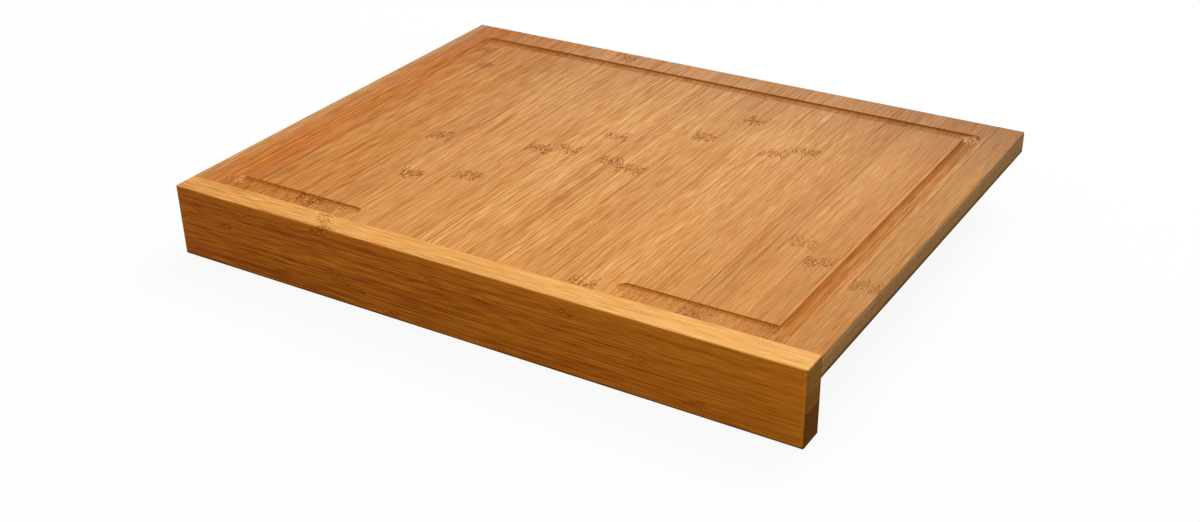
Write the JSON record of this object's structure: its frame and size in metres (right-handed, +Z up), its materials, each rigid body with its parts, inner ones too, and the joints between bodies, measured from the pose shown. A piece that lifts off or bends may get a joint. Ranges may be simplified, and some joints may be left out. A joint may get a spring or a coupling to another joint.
{
  "type": "worktop-edge cutting board",
  "caption": "Laminated bamboo cutting board with a juice groove and a front lip that hooks over the worktop's edge.",
  "frame": {"origin": "middle of the inside corner of the hook, where the panel's underside meets the lip's rear face, which is the worktop's top front edge", "axes": "+X to the user's right along the worktop's edge, +Y away from the user over the worktop, +Z up"},
  "size_m": [0.45, 0.35, 0.05],
  "materials": {
    "face_laths": "sanded and oiled bamboo, warm honey, laths in slightly different tones",
    "lip_laths": "sanded and oiled bamboo, darker honey on the front face",
    "core_laths": "bamboo, sanded where the edges show",
    "under_laths": "sanded and oiled bamboo",
    "dowels": "plain beech, glued in"
  },
  "bodies": {
    "root": {"top_lath_01": "face_laths", "top_lath_02": "face_laths", "top_lath_03": "face_laths", "top_lath_04": "face_laths", "top_lath_05": "face_laths", "top_lath_06": "face_laths", "top_lath_07": "face_laths", "top_lath_08": "face_laths", "top_lath_09": "face_laths", "top_lath_10": "face_laths", "top_lath_11": "face_laths", "top_lath_12": "face_laths", "top_lath_13": "face_laths", "top_lath_14": "face_laths", "top_lath_15": "face_laths", "top_lath_16": "face_laths", "top_lath_17": "face_laths", "top_lath_18": "face_laths", "top_lath_19": "face_laths", "top_lath_20": "face_laths", "top_lath_21": "face_laths", "top_lath_22": "face_laths", "top_lath_23": "face_laths", "top_lath_24": "face_laths", "top_lath_25": "face_laths", "top_lath_26": "face_laths", "core_lath_01": "core_laths", "core_lath_02": "core_laths", "core_lath_03": "core_laths", "core_lath_04": "core_laths", "core_lath_05": "core_laths", "core_lath_06": "core_laths", "core_lath_07": "core_laths", "core_lath_08": "core_laths", "core_lath_09": "core_laths", "core_lath_10": "core_laths", "core_lath_11": "core_laths", "core_lath_12": "core_laths", "core_lath_13": "core_laths", "core_lath_14": "core_laths", "core_lath_15": "core_laths", "core_lath_16": "core_laths", "core_lath_17": "core_laths", "core_lath_18": "core_laths", "core_lath_19": "core_laths", "bottom_ply_laths": "under_laths", "lip_lath_01": "lip_laths", "lip_lath_02": "lip_laths", "lip_lath_03": "lip_laths", "lip_lath_04": "lip_laths", "lip_lath_05": "lip_laths", "lip_lath_06": "lip_laths", "lip_lath_07": "lip_laths", "lip_lath_08": "lip_laths", "lip_lath_09": "lip_laths", "dowels": "dowels"}
  },
  "joints": []
}
